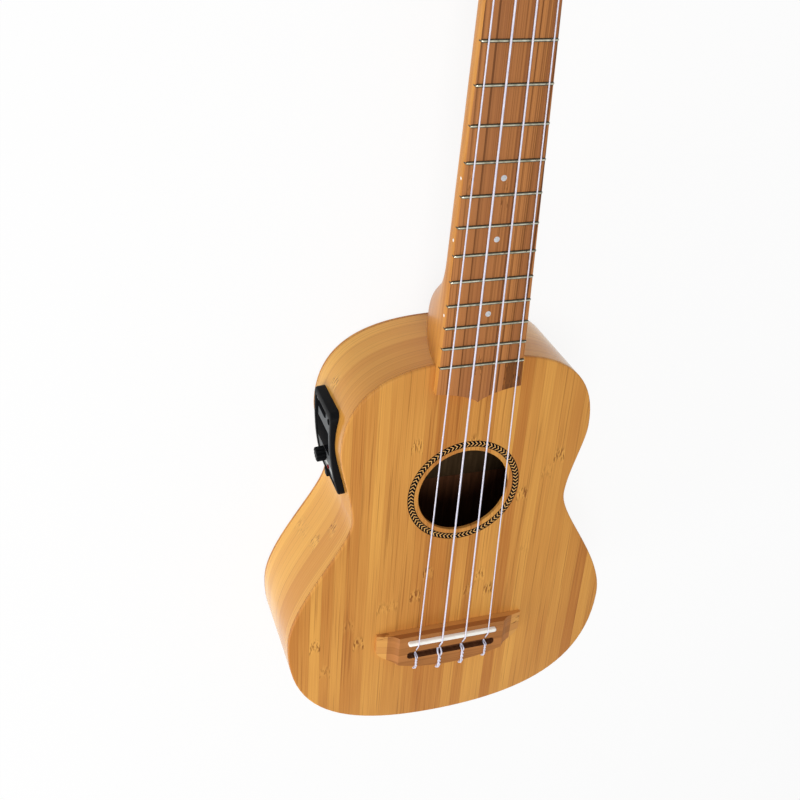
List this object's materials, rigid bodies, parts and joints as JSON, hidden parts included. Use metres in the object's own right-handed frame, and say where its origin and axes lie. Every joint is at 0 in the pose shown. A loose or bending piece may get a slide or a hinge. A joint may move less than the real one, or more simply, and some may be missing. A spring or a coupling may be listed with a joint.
{
  "type": "ukulele",
  "caption": "Small bamboo ukulele: hollow waisted body with a soundhole and a preamp in its side, fretted neck, tied bridge, nylon strings and geared tuners.",
  "frame": {"origin": "middle of the flat back's outer face, on the centre line", "axes": "+Y along the body towards the headstock, +Z out of the back through the soundboard, +X to the treble side"},
  "size_m": [0.1844, 0.5206, 0.0708],
  "materials": {
    "bamboo_top": "satin varnish",
    "bamboo_side": "satin varnish",
    "bamboo_back": "satin varnish",
    "neck_wood": "gloss varnish",
    "fretboard_bamboo": "oiled",
    "bridge_bamboo": "oiled",
    "spruce": "bare",
    "rosette_inlay": "satin varnish",
    "bone": "polished",
    "pearl": "polished",
    "nickel_silver": "polished",
    "brass": "plain",
    "nylon": "clear white",
    "black_abs": "fine satin",
    "grey_abs": "satin",
    "black_acrylic": "glossy",
    "black_pvc": "matte"
  },
  "bodies": {
    "instrument": {"a_string": "nylon", "c_string": "nylon", "e_string": "nylon", "g_string": "nylon", "a_tuner_plate": "nickel_silver", "c_tuner_plate": "nickel_silver", "e_tuner_plate": "nickel_silver", "g_tuner_plate": "nickel_silver", "back_plate": "bamboo_back", "soundboard": "bamboo_top", "bass_side": "bamboo_side", "treble_side": "bamboo_side", "bass_top_lining": "spruce", "bass_back_lining": "spruce", "treble_top_lining": "spruce", "treble_back_lining": "spruce", "neck_block": "spruce", "tail_block": "spruce", "upper_top_brace": "spruce", "lower_top_brace": "spruce", "upper_back_brace": "spruce", "lower_back_brace": "spruce", "bridge_patch": "spruce", "rosette": "rosette_inlay", "neck": "neck_wood", "fretboard": "fretboard_bamboo", "nut": "bone", "bridge": "bridge_bamboo", "saddle": "bone", "pickup": "brass", "preamp_bezel": "black_abs", "preamp_chassis": "grey_abs", "display_lens": "black_acrylic", "output_jack": "nickel_silver", "jack_lead": "black_pvc", "position_dot_05": "pearl", "position_dot_07": "pearl", "position_dot_10": "pearl", "fret_01": "nickel_silver", "fret_02": "nickel_silver", "fret_03": "nickel_silver", "fret_04": "nickel_silver", "fret_05": "nickel_silver", "fret_06": "nickel_silver", "fret_07": "nickel_silver", "fret_08": "nickel_silver", "fret_09": "nickel_silver", "fret_10": "nickel_silver", "fret_11": "nickel_silver", "fret_12": "nickel_silver"},
    "g_worm": {"g_tuner_worm": "nickel_silver"},
    "c_worm": {"c_tuner_worm": "nickel_silver"},
    "e_worm": {"e_tuner_worm": "nickel_silver"},
    "a_worm": {"a_tuner_worm": "nickel_silver"},
    "g_post": {"g_tuner_gear": "nickel_silver"},
    "c_post": {"c_tuner_gear": "nickel_silver"},
    "e_post": {"e_tuner_gear": "nickel_silver"},
    "a_post": {"a_tuner_gear": "nickel_silver"},
    "volume_knob": {"volume_knob": "black_abs"},
    "push_button": {"push_button": "black_abs"}
  },
  "joints": [
    {"name": "g_worm_turn", "type": "hinge", "parent": "instrument", "child": "g_worm", "pos_m": [-0.01735, 0.32131, 0.02348], "axis": [-1, 0, 0], "continuous": true},
    {"name": "g_post_turn", "type": "hinge", "parent": "instrument", "child": "g_post", "pos_m": [-0.01735, 0.32896, 0.02641], "axis": [0, 0.202, 0.9794], "continuous": true},
    {"name": "c_worm_turn", "type": "hinge", "parent": "instrument", "child": "c_worm", "pos_m": [-0.01907, 0.35852, 0.0158], "axis": [-1, 0, 0], "continuous": true},
    {"name": "c_post_turn", "type": "hinge", "parent": "instrument", "child": "c_post", "pos_m": [-0.01907, 0.36618, 0.01874], "axis": [0, 0.202, 0.9794], "continuous": true},
    {"name": "e_worm_turn", "type": "hinge", "parent": "instrument", "child": "e_worm", "pos_m": [0.01907, 0.37204, 0.01301], "axis": [1, 0, 0], "continuous": true},
    {"name": "e_post_turn", "type": "hinge", "parent": "instrument", "child": "e_post", "pos_m": [0.01907, 0.36618, 0.01874], "axis": [0, 0.202, 0.9794], "continuous": true},
    {"name": "a_worm_turn", "type": "hinge", "parent": "instrument", "child": "a_worm", "pos_m": [0.01735, 0.33482, 0.02069], "axis": [1, 0, 0], "continuous": true},
    {"name": "a_post_turn", "type": "hinge", "parent": "instrument", "child": "a_post", "pos_m": [0.01735, 0.32896, 0.02641], "axis": [0, 0.202, 0.9794], "continuous": true},
    {"name": "volume_turn", "type": "hinge", "parent": "instrument", "child": "volume_knob", "pos_m": [-0.0667, 0.05704, 0.02789], "axis": [-0.9951, -0.0986, 0.0046], "range_deg": [-150, 150]},
    {"name": "push_button_press", "type": "slide", "parent": "instrument", "child": "push_button", "axis": [0.9951, 0.0986, -0.0046], "range_m": [0, 0.001], "stiffness_N_per_m": 400}
  ],
  "couplings": [
    {"joint": "g_post_turn", "follows": "g_worm_turn", "ratio": 0.083333},
    {"joint": "c_post_turn", "follows": "c_worm_turn", "ratio": 0.083333},
    {"joint": "e_post_turn", "follows": "e_worm_turn", "ratio": 0.083333},
    {"joint": "a_post_turn", "follows": "a_worm_turn", "ratio": 0.083333}
  ]
}
